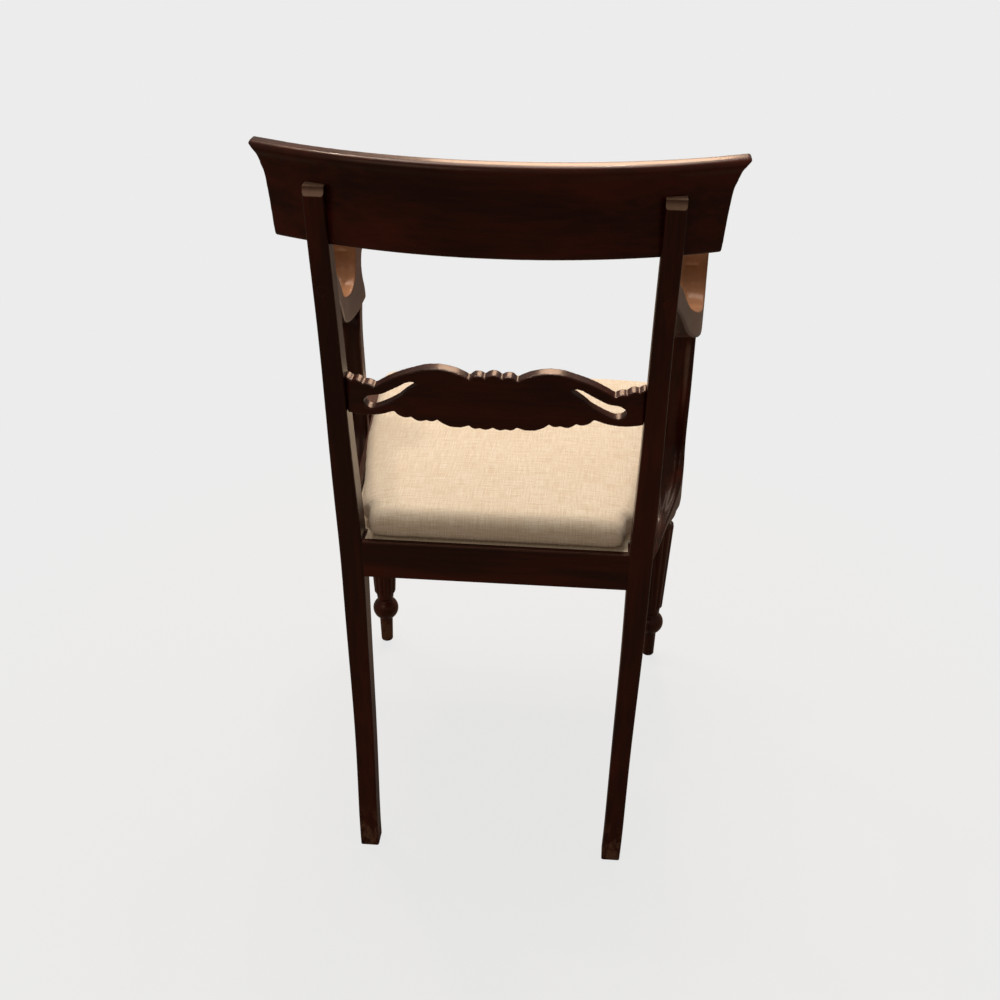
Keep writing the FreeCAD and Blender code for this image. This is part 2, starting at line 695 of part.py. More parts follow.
def seat_frame():
    """Four members of the seat frame, halved together at the corners."""
    outline = plan_prism(seat_outline(0.0), FRAME_BOTTOM, FRAME_TOP)
    front = FRONT_RAIL_FACE + LIP + SEAT_SIDE_GAP
    half = FRAME_BOTTOM + FRAME_THICKNESS / 2
    rear_zone = box(-250, 250, FRAME_REAR - FRAME_WIDTH, 0, 390, 430)
    front_zone = box(-250, 250, -430, front + FRAME_WIDTH, 390, 430)
    y0, y1 = 0.0, -430.0

    def side_zone(low, high):
        pts = [(side_face(y0) + 5, y0), (side_face(y1) + 5, y1),
               (side_face(y1) - LIP - FRAME_WIDTH, y1), (side_face(y0) - LIP - FRAME_WIDTH, y0)]
        return plan_prism(pts, low, high)

    left = side_zone(390, 430)
    upper = side_zone(half, 430)
    members = {}
    for name, zone in (("rear", rear_zone), ("front", front_zone)):
        members[name] = outline.common(zone).cut(upper).cut(mirrored(upper))
    side = outline.common(left)
    for zone in (rear_zone, front_zone):
        side = side.cut(zone.common(box(-250, 250, -450, 10, 390, half)))
    members["left"] = side
    members["right"] = mirrored(side)
    return members


def straps():
    """Three fore and aft straps under three cross straps, ends down on the frame."""
    t = STRAP_THICKNESS
    z = FRAME_TOP
    w = STRAP_WIDTH / 2
    result = []
    for x in (-92.0, 0.0, 92.0):
        result.append(box(x - w, x + w, -396, -32, z, z + t))
    for y, reach in ((-112.0, 150.0), (-214.0, 158.0), (-316.0, 166.0)):
        rise = 92.0 + w + 2
        drop = rise + 6
        pts = [(-reach, z), (-drop, z), (-rise, z + t), (rise, z + t), (drop, z), (reach, z),
               (reach, z + t), (drop, z + t), (rise, z + 2 * t), (-rise, z + 2 * t), (-drop, z + t),
               (-reach, z + t)]
        wire = Part.makePolygon([V(a, y - w, b) for a, b in pts + pts[:1]])
        result.append(Part.Face(wire).extrude(V(0, STRAP_WIDTH, 0)))
    return result


def tacks():
    """Two tacks at every strap end."""
    spots = []
    for x in (-92.0, 0.0, 92.0):
        for y in (-42.0, -386.0):
            spots += [(x - 12, y), (x + 12, y)]
    for y, reach in ((-112.0, 150.0), (-214.0, 158.0), (-316.0, 166.0)):
        for s in (1, -1):
            spots += [(s * (reach - 8), y - 12), (s * (reach - 8), y + 12)]
    result = []
    for x, y in spots:
        top = V(x, y, FRAME_TOP + STRAP_THICKNESS)
        head = Part.makeCylinder(2.6, 0.7, top)
        shank = Part.makeCone(0.9, 0.4, 9, top, V(0, 0, -1))
        result.append(head.fuse(shank))
    return result


def cushion_wire(inset, height):
    """Outline of the stuffed seat at one height, drawn in by an inset."""
    d = inset
    rear = -8.0 - 0.9 * d
    front = -424.0 + d
    r, f = 10.0, 28.0
    x0, x1 = 149.0 - d, 160.0 - d
    half = [
        (x0 - r, rear), (x0, rear - r), (x0, rear - 26.0), (x1, rear - 38.0),
        (184.5 - d, -214.0), (197.0 - d, front + f), (197.0 - d - f, front),
    ]
    q = math.sqrt(0.5)
    rear_mid = (x0 - r + r * q, rear - r + r * q)
    front_mid = (197.0 - d - f + f * q, front + f - f * q)

    def p(xy, s):
        return V(s * xy[0], xy[1], height)

    def side(s):
        return [
            Part.Arc(p(half[0], s), p(rear_mid, s), p(half[1], s)).toShape(),
            Part.LineSegment(p(half[1], s), p(half[2], s)).toShape(),
            Part.LineSegment(p(half[2], s), p(half[3], s)).toShape(),
            Part.LineSegment(p(half[3], s), p(half[4], s)).toShape(),
            Part.LineSegment(p(half[4], s), p(half[5], s)).toShape(),
            Part.Arc(p(half[5], s), p(front_mid, s), p(half[6], s)).toShape(),
        ]

    left = side(1)
    right = side(-1)
    front_line = Part.LineSegment(p(half[6], 1), p(half[6], -1)).toShape()
    rear_line = Part.LineSegment(p(half[0], -1), p(half[0], 1)).toShape()
    return Part.Wire(left + [front_line] + right[::-1] + [rear_line])


def seat_cushion():
    """Stuffed seat: sides drawn in to the frame and rolled over into a low crown."""
    roll = ((7.0, 0.0), (1.5, 5.5), (0.0, 13.0), (3.0, 21.0), (10.0, 28.0), (21.0, 33.0))
    crown = ((21.0, 33.0), (48.0, 38.5), (76.0, 42.2), (104.0, CUSHION_HEIGHT))
    parts = []
    for levels in (roll, crown):
        wires = [cushion_wire(d, CUSHION_BOTTOM + h) for d, h in levels]
        parts.append(Part.makeLoft(wires, True, False, False, 3))
    return fused(parts)


def write(name, shape):
    """Save one piece, or one group of loose pieces, centred over the floor."""
    if isinstance(shape, list):
        shape = Part.makeCompound(shape)
    front = LEG_Y - BLOCK / 2
    back = CREST_BACK + CREST_BEAD_PROUD
    shape = shape.translated(V(0, -(front + back) / 2, 0))
    shape.exportStep("parts/" + name + ".step")


def build():
    post_blank = back_post_blank()
    leg_blank = front_leg_blank()
    recess = seat_recess()
    leg_fit = leg_blank.cut(recess)
    post_fit = [post_blank, mirrored(post_blank)]

    rear = rear_seat_rail(*post_fit)
    side = side_seat_rail(post_blank, leg_blank).cut(rear)
    front = front_seat_rail(leg_blank, mirrored(leg_blank))
    mid = mid_rail(*post_fit)
    crest = crest_rail(*post_fit)
    support = arm_support()
    arm_left = arm(post_blank, support)
    arm_bolt = arm_screw()
    plug = arm_plug(post_blank)
    rail_screws = support_screws()
    rear_block = corner_block_rear(post_blank, rear, side)
    front_block = corner_block_front(leg_blank, front, side)
    corner_screws, bores = block_screws()

    post = post_blank
    for tool in (mid_tenon(), rear_tenon(), side_tenon_rear(), arm_bolt, plug):
        post = post.cut(tool)
    leg = leg_fit
    for tool in (side_tenon_front(), front_tenon()):
        leg = leg.cut(tool)
    arm_left = arm_left.cut(arm_bolt)
    for s in rail_screws:
        support = support.cut(s)
        side = side.cut(s)
    for s in corner_screws:
        side = side.cut(s)
        rear = rear.cut(s).cut(mirrored(s))
        front = front.cut(s).cut(mirrored(s))
        rear_block = rear_block.cut(s)
        front_block = front_block.cut(s)
    for b in bores:
        rear_block = rear_block.cut(b)
        front_block = front_block.cut(b)

    pairs = {
        "back_post": post, "front_leg": leg, "side_seat_rail": side, "arm": arm_left,
        "arm_support": support, "corner_block_rear": rear_block, "corner_block_front": front_block,
    }
    for name, shape in pairs.items():
        write(name + "_left", shape)
        write(name + "_right", mirrored(shape))
    write("crest_rail", crest)
    write("mid_rail", mid)
    write("rear_seat_rail", rear)
    write("front_seat_rail", front)
    write("arm_screws", [arm_bolt, mirrored(arm_bolt)])
    write("arm_screw_plugs", [plug, mirrored(plug)])
    write("arm_support_screws", rail_screws + [mirrored(s) for s in rail_screws])
    write("corner_block_screws", corner_screws + [mirrored(s) for s in corner_screws])

    webbing = straps()
    nails = tacks()
    members = seat_frame()
    for nail in nails:
        webbing = [s.cut(nail) for s in webbing]
        members = {k: m.cut(nail) for k, m in members.items()}
    for name, member in members.items():
        write("seat_frame_" + name, member)
    write("seat_webbing", webbing)
    write("webbing_tacks", nails)
    write("seat_cushion", seat_cushion())


build()
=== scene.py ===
import json
import logging
import math
from collections.abc import Sequence
from dataclasses import dataclass
from enum import Enum

import bpy
import numpy as np
from mathutils import Matrix, Vector

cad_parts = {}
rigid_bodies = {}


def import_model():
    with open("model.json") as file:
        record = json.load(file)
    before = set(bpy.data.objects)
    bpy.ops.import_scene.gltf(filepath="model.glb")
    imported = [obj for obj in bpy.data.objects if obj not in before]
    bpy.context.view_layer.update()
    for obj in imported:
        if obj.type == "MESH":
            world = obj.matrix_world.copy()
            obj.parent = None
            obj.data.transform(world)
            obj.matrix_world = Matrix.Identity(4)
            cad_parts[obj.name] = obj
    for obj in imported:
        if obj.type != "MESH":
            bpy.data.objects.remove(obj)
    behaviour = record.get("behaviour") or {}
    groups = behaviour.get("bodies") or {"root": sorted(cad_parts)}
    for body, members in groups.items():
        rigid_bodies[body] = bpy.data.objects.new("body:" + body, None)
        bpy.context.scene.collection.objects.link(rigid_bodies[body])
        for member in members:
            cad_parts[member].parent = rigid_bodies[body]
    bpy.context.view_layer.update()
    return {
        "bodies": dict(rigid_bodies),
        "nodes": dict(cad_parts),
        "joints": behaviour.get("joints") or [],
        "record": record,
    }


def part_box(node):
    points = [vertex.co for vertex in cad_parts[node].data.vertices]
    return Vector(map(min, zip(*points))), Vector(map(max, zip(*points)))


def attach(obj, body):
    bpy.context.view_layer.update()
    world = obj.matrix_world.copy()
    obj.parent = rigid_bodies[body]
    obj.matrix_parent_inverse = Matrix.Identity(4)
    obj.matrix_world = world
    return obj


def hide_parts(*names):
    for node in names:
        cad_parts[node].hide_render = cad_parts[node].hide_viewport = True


logging.basicConfig(level=logging.INFO, format="%(name)s: %(message)s")
LOG = logging.getLogger("elbow_chair")

MM = 0.001
JOIN_DISTANCE = 0.02 * MM

Colour = tuple[float, float, float]


def srgb(red: int, green: int, blue: int) -> Colour:
    """Linear colour of a 0 to 255 screen colour.

    Args:
        red: Red as seen on a screen.
        green: Green as seen on a screen.
        blue: Blue as seen on a screen.

    Returns:
        The three linear values that a shader takes.
    """
    def linear(value: int) -> float:
        """One channel without its screen curve."""
        v = value / 255
        return v / 12.92 if v <= 0.04045 else ((v + 0.055) / 1.055) ** 2.4

    return linear(red), linear(green), linear(blue)


class Body(Enum):
    """The chair's two rigid bodies."""

    FRAME = "chair_frame"
    SEAT = "drop_in_seat"


class Grain(Enum):
    """Which way a timber's grain runs, as the axis along it."""

    ACROSS = 0
    FORE_AND_AFT = 1
    UPRIGHT = 2


class Signal:
    """A shader value that can be worked with as a number."""

    def __init__(self, finish: "Recipe", socket: bpy.types.NodeSocket) -> None:
        """Wrap one output socket of a finish's nodes."""
        self.finish = finish
        self.socket = socket

    def _maths(self, operation: str, *values: "Signal | float") -> "Signal":
        """Add one Math node and return its result."""
        return self.finish.add("ShaderNodeMath", {"operation": operation}, dict(enumerate(values)))

    def __add__(self, other: "Signal | float") -> "Signal":
        """Sum."""
        return self._maths("ADD", self, other)

    __radd__ = __add__

    def __sub__(self, other: "Signal | float") -> "Signal":
        """Difference."""
        return self._maths("SUBTRACT", self, other)

    def __rsub__(self, other: "Signal | float") -> "Signal":
        """Difference from a number."""
        return self._maths("SUBTRACT", other, self)

    def __mul__(self, other: "Signal | float") -> "Signal":
        """Product."""
        return self._maths("MULTIPLY", self, other)

    __rmul__ = __mul__

    def sine(self) -> "Signal":
        """Sine of the value in radians."""
        return self._maths("SINE", self)

    def absolute(self) -> "Signal":
        """Value without its sign."""
        return self._maths("ABSOLUTE", self)

    def larger(self, other: "Signal | float") -> "Signal":
        """The larger of two values."""
        return self._maths("MAXIMUM", self, other)

    def smaller(self, other: "Signal | float") -> "Signal":
        """The smaller of two values."""
        return self._maths("MINIMUM", self, other)

    def rise(self, low: float, high: float) -> "Signal":
        """Smooth step from 0 at low to 1 at high; falls if low is above high.

        Args:
            low: Value that gives 0.
            high: Value that gives 1.

        Returns:
            The eased mask.
        """
        settings = {"interpolation_type": "SMOOTHSTEP"}
        if low <= high:
            return self.finish.add("ShaderNodeMapRange", settings,
                                   {"Value": self, "From Min": low, "From Max": high})
        return self.finish.add("ShaderNodeMapRange", settings,
                               {"Value": self, "From Min": high, "From Max": low,
                                "To Min": 1.0, "To Max": 0.0})


class Recipe:
    """The nodes of one material, or of the world."""

    def __init__(self, name: str, world: bool = False) -> None:
        """Start an empty material or world with its output.

        Args:
            name: Name of the material or world.
            world: True for the world.
        """
        self.owner = bpy.data.worlds.new(name) if world else bpy.data.materials.new(name)
        self.owner.use_nodes = True
        self.nodes = self.owner.node_tree.nodes
        self.links = self.owner.node_tree.links
        self.nodes.clear()
        self.output = self.nodes.new("ShaderNodeOutputWorld" if world else "ShaderNodeOutputMaterial")

    def add(self, kind: str, settings: dict | None = None,
            sockets: dict | None = None, result: int | str = 0) -> Signal:
        """Add a node.

        Args:
            kind: Node type.
            settings: Properties set before its sockets.
            sockets: Input name or number to a value, colour or Signal.
            result: Output to return, by name or number.

        Returns:
            The wanted output.
        """
        node = self.nodes.new(kind)
        for name, value in (settings or {}).items():
            setattr(node, name, value)
        for name, value in (sockets or {}).items():
            socket = node.inputs[name]
            if isinstance(value, Signal):
                self.links.new(value.socket, socket)
            elif socket.type == "RGBA":
                socket.default_value = (*value, 1.0)
            else:
                socket.default_value = value
        return Signal(self, node.outputs[result])

    def blend(self, factor: Signal | float, first: Signal | Colour, second: Signal | Colour) -> Signal:
        """Mix two colours.

        Args:
            factor: Share of the second.
            first: Colour at 0.
            second: Colour at 1.

        Returns:
            The mixed colour.
        """
        return self.add("ShaderNodeMix", {"data_type": "RGBA"}, {0: factor, 6: first, 7: second}, 2)

    def place(self, scale: Sequence[float] = (1, 1, 1), shift: Sequence[float] = (0, 0, 0)) -> Signal:
        """Object coordinates, stretched and shifted for one pattern.

        Args:
            scale: Stretch along each axis.
            shift: Shift along each axis.

        Returns:
            The pattern's coordinates.
        """
        coordinates = self.add("ShaderNodeTexCoord", result="Object")
        return self.add("ShaderNodeMapping", None,
                        {"Vector": coordinates, "Scale": tuple(scale), "Location": tuple(shift)})

    def noise(self, vector: Signal, scale: float, detail: float = 2.0, roughness: float = 0.5,
              distortion: float = 0.0) -> Signal:
        """Noise value over a pattern's coordinates.

        Args:
            vector: The pattern's coordinates.
            scale: Noise scale.
            detail: Noise detail.
            roughness: Noise roughness.
            distortion: Noise distortion.

        Returns:
            A value from 0 to 1.
        """
        return self.add("ShaderNodeTexNoise", None,
                        {"Vector": vector, "Scale": scale, "Detail": detail,
                         "Roughness": roughness, "Distortion": distortion})

    def axis(self, vector: Signal, name: str) -> Signal:
        """One part, X, Y or Z, of a vector."""
        return self.add("ShaderNodeSeparateXYZ", None, {"Vector": vector}, name)

    def squareness(self, first: Signal, second: "Signal | Colour") -> Signal:
        """Dot product of two vectors."""
        return self.add("ShaderNodeVectorMath", {"operation": "DOT_PRODUCT"}, {0: first, 1: second}, "Value")

    def relief(self, height: Signal, strength: float, depth: float, normal: Signal | None = None) -> Signal:
        """Bump made from a height.

        Args:
            height: Height signal.
            strength: Bump strength.
            depth: Depth in metres.
            normal: Normal that it starts from, if not the plain one.

        Returns:
            The bumped normal.
        """
        sockets = {"Strength": strength, "Distance": depth, "Height": height}
        if normal:
            sockets["Normal"] = normal
        return self.add("ShaderNodeBump", None, sockets)

    def close(self, shader: Signal) -> "bpy.types.Material | bpy.types.World":
        """Send a shader to the output and hand over the material or world."""
        self.links.new(shader.socket, self.output.inputs["Surface"])
        return self.owner

    def surface(self, sockets: dict) -> bpy.types.Material:
        """Finish the material with a principled shader."""
        return self.close(self.add("ShaderNodeBsdfPrincipled", None, sockets))


def stretched(grain: Grain, along: float, round_it: float) -> tuple[float, float, float]:
    """Scale for a pattern drawn out along the grain.

    Args:
        grain: Axis along the grain.
        along: Scale along it.
        round_it: Scale across it.

    Returns:
        Scale for each axis.
    """
    scale = [round_it] * 3
    scale[grain.value] = along
    return scale[0], scale[1], scale[2]


class PaintedSheenTint(Enum):
    """Tint of a painted sheen, standing for light reflected off the polish."""

    HANDS = "hands"
    CLOTHS = "cloths"


@dataclass(frozen=True)
class PaintedSheen:
    """Faces lightened by a painted sheen, standing for reflected light: least height, the way they face, how
    squarely, and which tint.
    """

    height: float
    facing: tuple[float, float, float]
    lean: tuple[float, float]
    tint: PaintedSheenTint
    edge: float = 8 * MM


@dataclass(frozen=True)
class FrenchPolishedMahogany:
    """Dark stained mahogany under an old French polish."""

    dark: Colour = srgb(34, 10, 6)
    red: Colour = srgb(66, 21, 12)
    amber: Colour = srgb(96, 40, 20)
    pore: Colour = srgb(14, 5, 3)
    worn: Colour = srgb(146, 84, 52)
    scuffed: Colour = srgb(104, 74, 56)
    shellac: Colour = (1.0, 0.62, 0.45)
    # Painted sheen colours: pale tan for the arms and pale grey for the post tops, standing for light
    # reflected off the polish.
    painted_tan_sheen: Colour = srgb(158, 112, 80)
    painted_grey_sheen: Colour = srgb(134, 110, 92)
    scuff_height: float = 62 * MM
    arris: float = 1.3 * MM
    board_shift: tuple[float, float, float] = (1.7, 2.3, 0.9)

    def material(self, name: str, grain: Grain, seed: float,
                 painted_sheen: PaintedSheen | None = None) -> bpy.types.Material:
        """Build the finish for one direction of grain.

        Args:
            name: Material name.
            grain: Axis that the grain follows.
            seed: Shift that gives a board its own figure.
            painted_sheen: Faces lightened by a painted sheen, standing for light reflected off the polish.

        Returns:
            The material.
        """
        r = Recipe(name)
        shift = tuple(seed * step for step in self.board_shift)
        fibre = r.noise(r.place(stretched(grain, 9.0, 190.0), shift), 1.0, 3.0, 0.6, 0.4)
        figure = r.noise(r.place(stretched(grain, 2.2, 16.0), shift), 1.0, 3.0, 0.55, 1.1)
        cloud = r.noise(r.place(shift=shift), 7.0, 3.0, 0.6)
        pore = r.noise(r.place(stretched(grain, 60.0, 1500.0), shift), 1.0, 1.0, 0.5).rise(0.68, 0.76)
        rounded = r.add("ShaderNodeBevel", {"samples": 4}, {"Radius": self.arris})
        rub = self.rubbed_edges(r, rounded, shift)
        height = r.axis(r.add("ShaderNodeTexCoord", result="Object"), "Z")
        scrape = self.scrapes(r, height, shift)

        tone = (figure * 0.65 + fibre * 0.35).rise(0.36, 0.66)
        wood = r.blend(tone, self.dark, self.red)
        wood = r.blend((figure * cloud).rise(0.27, 0.5) * 0.3, wood, self.amber)
        wood = r.blend(pore * 0.7, wood, self.pore)
        wood = r.blend(rub * 0.4, wood, self.worn)
        wood = r.blend(scrape * 0.75, wood, self.scuffed)
        # Painted sheen: faces turned toward the given direction above a set height are lightened toward a
        # pale tint, standing for light reflected off the polish.
        if painted_sheen:
            square = r.squareness(rounded, painted_sheen.facing).rise(*painted_sheen.lean)
            fade = square * height.rise(painted_sheen.height, painted_sheen.height + painted_sheen.edge)
            streak = 0.74 + fibre * 0.3 - cloud * 0.16
            sheen_colour = self.painted_tan_sheen if painted_sheen.tint is PaintedSheenTint.HANDS else self.painted_grey_sheen
            wood = r.blend(fade * streak, wood, sheen_colour)

        smear = r.noise(r.place(stretched(grain, 6.0, 22.0), shift), 1.0, 3.0, 0.6)
        rough = 0.25 + smear * 0.16 + pore * 0.2 + scrape * 0.3 + rub * 0.08
        ripple = r.noise(r.place(stretched(grain, 5.0, 26.0), shift), 1.0, 2.0, 0.5)
        grain_height = fibre * 0.25 + ripple * 0.8 - pore * 0.5 - scrape * 0.6
        bump = r.relief(grain_height, 0.22, 0.4 * MM, rounded)
        return r.surface({"Base Color": wood, "Roughness": rough, "Normal": bump,
                          "Specular IOR Level": 0.3, "Specular Tint": self.shellac,
                          "Coat Weight": 0.16, "Coat Roughness": 0.08, "Coat IOR": 1.5})

    def rubbed_edges(self, r: Recipe, rounded: Signal, shift: Sequence[float]) -> Signal:
        """Mask of the arrises where the stain is worn thin.

        Args:
            r: The material's nodes.
            rounded: Normal with its arrises eased.
            shift: The board's own shift.

        Returns:
            A mask from 0 to 1.
        """
        plain = r.add("ShaderNodeNewGeometry", result="Normal")
        edge = (1.0 - r.squareness(plain, rounded)).rise(0.01, 0.16)
        return (edge * r.noise(r.place(shift=shift), 46.0, 3.0, 0.7).rise(0.42, 0.66)).smaller(1.0)

    def scrapes(self, r: Recipe, height: Signal, shift: Sequence[float]) -> Signal:
        """Mask of the scuffs near the floor.

        Args:
            r: The material's nodes.
            height: Height over the floor.
            shift: The board's own shift.

        Returns:
            A mask from 0 to 1.
        """
        low = height.rise(self.scuff_height, self.scuff_height * 0.35)
        return low * r.noise(r.place((60, 60, 34), shift), 1.0, 4.0, 0.7).rise(0.46, 0.6)


@dataclass(frozen=True)
class SawnBeech:
    """Unpolished beech of the seat frame and corner blocks, gone brown with age."""

    pale: Colour = srgb(188, 146, 98)
    brown: Colour = srgb(134, 92, 56)
    fleck: Colour = srgb(92, 60, 36)

    def material(self, name: str, grain: Grain) -> bpy.types.Material:
        """Build the finish for one direction of grain.

        Args:
            name: Material name.
            grain: Axis that the grain follows.

        Returns:
            The material.
        """
        r = Recipe(name)
        wood, rough, bump = self.sawn(r, grain)
        return r.surface({"Base Color": wood, "Roughness": rough, "Normal": bump})

    def covered(self, name: str, grain: Grain, linen: "UndyedLinen", middle: float) -> bpy.types.Material:
        """Build the finish of a seat frame member under its cover.

        Args:
            name: Material name.
            grain: Axis that the grain follows.
            linen: The cloth drawn over the member's top and outer edge.
            middle: Place of the seat's middle, from front to back.

        Returns:
            The material.
        """
        r = Recipe(name)
        wood, wood_rough, wood_bump = self.sawn(r, grain)
        place = r.add("ShaderNodeTexCoord", result="Object")
        height = r.axis(place, "Z")
        shift = r.add("ShaderNodeCombineXYZ", None, {"X": height, "Y": height})
        cloth_map = r.add("ShaderNodeVectorMath", {"operation": "ADD"}, {0: place, 1: shift})
        cloth, cloth_rough, cloth_bump = linen.weave(r, cloth_map)
        facing = r.add("ShaderNodeNewGeometry", result="True Normal")
        up = r.axis(facing, "Z").rise(0.4, 0.6)
        from_middle = r.add("ShaderNodeVectorMath", {"operation": "SUBTRACT"},
                            {0: place, 1: (0.0, middle, 0.0)})
        flat = r.add("ShaderNodeVectorMath", {"operation": "MULTIPLY"}, {0: from_middle, 1: (1.0, 1.0, 0.0)})
        drawn = up.larger(r.squareness(flat, facing).rise(0.02, 0.05))
        bump = r.add("ShaderNodeMix", {"data_type": "VECTOR"},
                     {0: drawn, 4: wood_bump, 5: cloth_bump}, 1)
        return r.surface({"Base Color": r.blend(drawn, wood, cloth), "Normal": bump,
                          "Roughness": wood_rough * (1.0 - drawn) + cloth_rough * drawn})

    def sawn(self, r: Recipe, grain: Grain) -> tuple[Signal, Signal, Signal]:
        """Build colour, roughness and bump of the bare wood.

        Args:
            r: The material's nodes.
            grain: Axis that the grain follows.

        Returns:
            Colour, roughness and normal.
        """
        fibre = r.noise(r.place(stretched(grain, 8.0, 260.0)), 1.0, 3.0, 0.6)
        cloud = r.noise(r.place(), 14.0, 3.0, 0.6)
        fleck = r.noise(r.place(stretched(grain, 170.0, 900.0)), 1.0, 1.0).rise(0.66, 0.74)
        kerf = r.add("ShaderNodeTexWave", {"bands_direction": "DIAGONAL"},
                     {"Vector": r.place((420, 420, 420)), "Scale": 1.0, "Distortion": 1.5})
        wood = r.blend((fibre * 0.5 + cloud * 0.5).rise(0.35, 0.65), self.pale, self.brown)
        wood = r.blend(fleck * 0.6, wood, self.fleck)
        bump = r.relief(fibre * 0.5 + kerf * 0.3, 0.3, 0.3 * MM)
        return wood, 0.66 + cloud * 0.2, bump


@dataclass(frozen=True)
class DulledSteel:
    """Hand-cut steel screws and tacks, dulled by age."""

    bright: Colour = srgb(150, 144, 136)
    dull: Colour = srgb(74, 64, 56)
    rust: Colour = srgb(106, 62, 38)

    def material(self, name: str) -> bpy.types.Material:
        """Build the finish.

        Args:
            name: Material name.

        Returns:
            The material.
        """
        r = Recipe(name)
        spots = r.noise(r.place(), 420.0, 3.0, 0.6)
        rust = r.noise(r.place(), 160.0, 4.0, 0.7).rise(0.55, 0.7)
        metal = r.blend(spots.rise(0.35, 0.7), self.bright, self.dull)
        metal = r.blend(rust * 0.6, metal, self.rust)
        bump = r.relief(spots, 0.2, 0.1 * MM)
        return r.surface({"Base Color": metal, "Metallic": 1.0 - rust * 0.8,
                          "Roughness": 0.42 + spots * 0.2 + rust * 0.2, "Normal": bump})


@dataclass(frozen=True)
class JuteWebbing:
    """Coarse jute straps, woven plain."""

    pale: Colour = srgb(186, 156, 108)
    dark: Colour = srgb(124, 96, 60)
    pitch: float = 2.2 * MM

    def material(self, name: str) -> bpy.types.Material:
        """Build the finish.

        Args:
            name: Material name.

        Returns:
            The material.
        """
        r = Recipe(name)
        turn = 2 * math.pi / self.pitch
        place = r.add("ShaderNodeTexCoord", result="Object")
        weave = ((r.axis(place, "X") * turn).sine() * (r.axis(place, "Y") * turn).sine()) * 0.5 + 0.5
        fuzz = r.noise(place, 900.0, 2.0)
        slub = r.noise(place, 60.0, 3.0)
        cloth = r.blend((weave * 0.4 + fuzz * 0.3 + slub * 0.4).rise(0.3, 0.8), self.dark, self.pale)
        bump = r.relief(weave + fuzz * 0.4, 0.7, 0.5 * MM)
        return r.surface({"Base Color": cloth, "Roughness": 0.86 + slub * 0.1, "Normal": bump})


@dataclass(frozen=True)
class UndyedLinen:
    """Plain woven undyed linen, threads following the cover's own cloth directions."""

    pale: Colour = srgb(240, 232, 216)
    warm: Colour = srgb(216, 197, 172)
    shadow: Colour = srgb(146, 114, 84)
    pitch: float = 1.25 * MM
    slub_length: float = 34.0
    slub_width: float = 700.0

    def material(self, name: str) -> bpy.types.Material:
        """Build the finish of the cushion's cover, on its own thread map.

        Args:
            name: Material name.

        Returns:
            The material.
        """
        r = Recipe(name)
        cloth, rough, bump = self.weave(r, r.add("ShaderNodeUVMap", {"uv_map": "threads"}))
        return r.surface({"Base Color": cloth, "Roughness": rough, "Normal": bump,
                          "Sheen Weight": 0.12, "Sheen Roughness": 0.5, "Specular IOR Level": 0.2})

    def weave(self, r: Recipe, cloth_map: Signal) -> tuple[Signal, Signal, Signal]:
        """Build colour, roughness and bump of the cloth.

        Args:
            r: The material's nodes.
            cloth_map: Place on the cloth in metres.

        Returns:
            Colour, roughness and normal.
        """
        across, down = r.axis(cloth_map, "X"), r.axis(cloth_map, "Y")

        def slub(scale: tuple[float, float, float]) -> Signal:
            """Uneven thickness of the threads of one direction."""
            place = r.add("ShaderNodeMapping", None, {"Vector": cloth_map, "Scale": scale})
            return r.noise(place, 1.0, 2.0, 0.55)

        warp_slub = slub((self.slub_width, self.slub_length, 1.0))
        weft_slub = slub((self.slub_length, self.slub_width, 1.0))
        turn = math.pi / self.pitch
        warp = (across * turn + (warp_slub - 0.5) * 2.0).sine().absolute()
        weft = (down * turn + (weft_slub - 0.5) * 2.0).sine().absolute()
        over = ((across * turn).sine() * (down * turn).sine()).rise(-0.25, 0.25)
        yarn = warp * over + weft * (1.0 - over)
        gap = (warp.larger(weft)).rise(0.62, 0.28)
        soil = r.noise(cloth_map, 9.0, 4.0, 0.6)
        grit = r.noise(cloth_map, 420.0, 2.0, 0.6)

        mottle = warp_slub * 0.34 + weft_slub * 0.46 + grit * 0.2
        cloth = r.blend(mottle.rise(0.36, 0.64), self.warm, self.pale)
        cloth = r.blend(soil.rise(0.4, 0.75) * 0.3, cloth, self.warm)
        cloth = r.blend(((weft_slub * grit).rise(0.34, 0.42)) * 0.35, cloth, self.shadow)
        cloth = r.blend(gap * 0.5, cloth, self.shadow)
        bump = r.relief(yarn * 0.7 + warp_slub * 0.5 + weft_slub * 0.6 + grit * 0.3, 0.55, 0.35 * MM)
        return cloth, 0.88 + soil * 0.08, bump


def clear_selection() -> None:
    """Leave edit mode and deselect everything."""
    if bpy.context.object and bpy.context.object.mode != "OBJECT":
        bpy.ops.object.mode_set(mode="OBJECT")
    bpy.ops.object.select_all(action="DESELECT")


def make_active(piece: bpy.types.Object) -> None:
    """Select one piece alone.

    Args:
        piece: The piece.
    """
    clear_selection()
    piece.select_set(True)
    bpy.context.view_layer.objects.active = piece


def coordinates(piece: bpy.types.Object) -> np.ndarray:
    """Read the vertex places of a piece.

    Args:
        piece: The piece.

    Returns:
        One row for each vertex.
    """
    values = np.empty(len(piece.data.vertices) * 3, np.float32)
    piece.data.vertices.foreach_get("co", values)
    return values.reshape(-1, 3).astype(float)


def set_coordinates(piece: bpy.types.Object, places: np.ndarray) -> None:
    """Move the vertices of a piece."""
    piece.data.vertices.foreach_set("co", places.astype(np.float32).ravel())
    piece.data.update()


def apply_modifiers(piece: bpy.types.Object) -> None:
    """Apply every modifier of a piece in order.

    Args:
        piece: The piece.
    """
    make_active(piece)
    for modifier in list(piece.modifiers):
        bpy.ops.object.modifier_apply(modifier=modifier.name)


def dress(piece: bpy.types.Object, finish: bpy.types.Material) -> None:
    """Give a piece one finish all over and report it.

    Args:
        piece: The piece.
        finish: Its finish.
    """
    piece.data.materials.clear()
    piece.data.materials.append(finish)
    LOG.info("%s: %s", piece.name, finish.name)


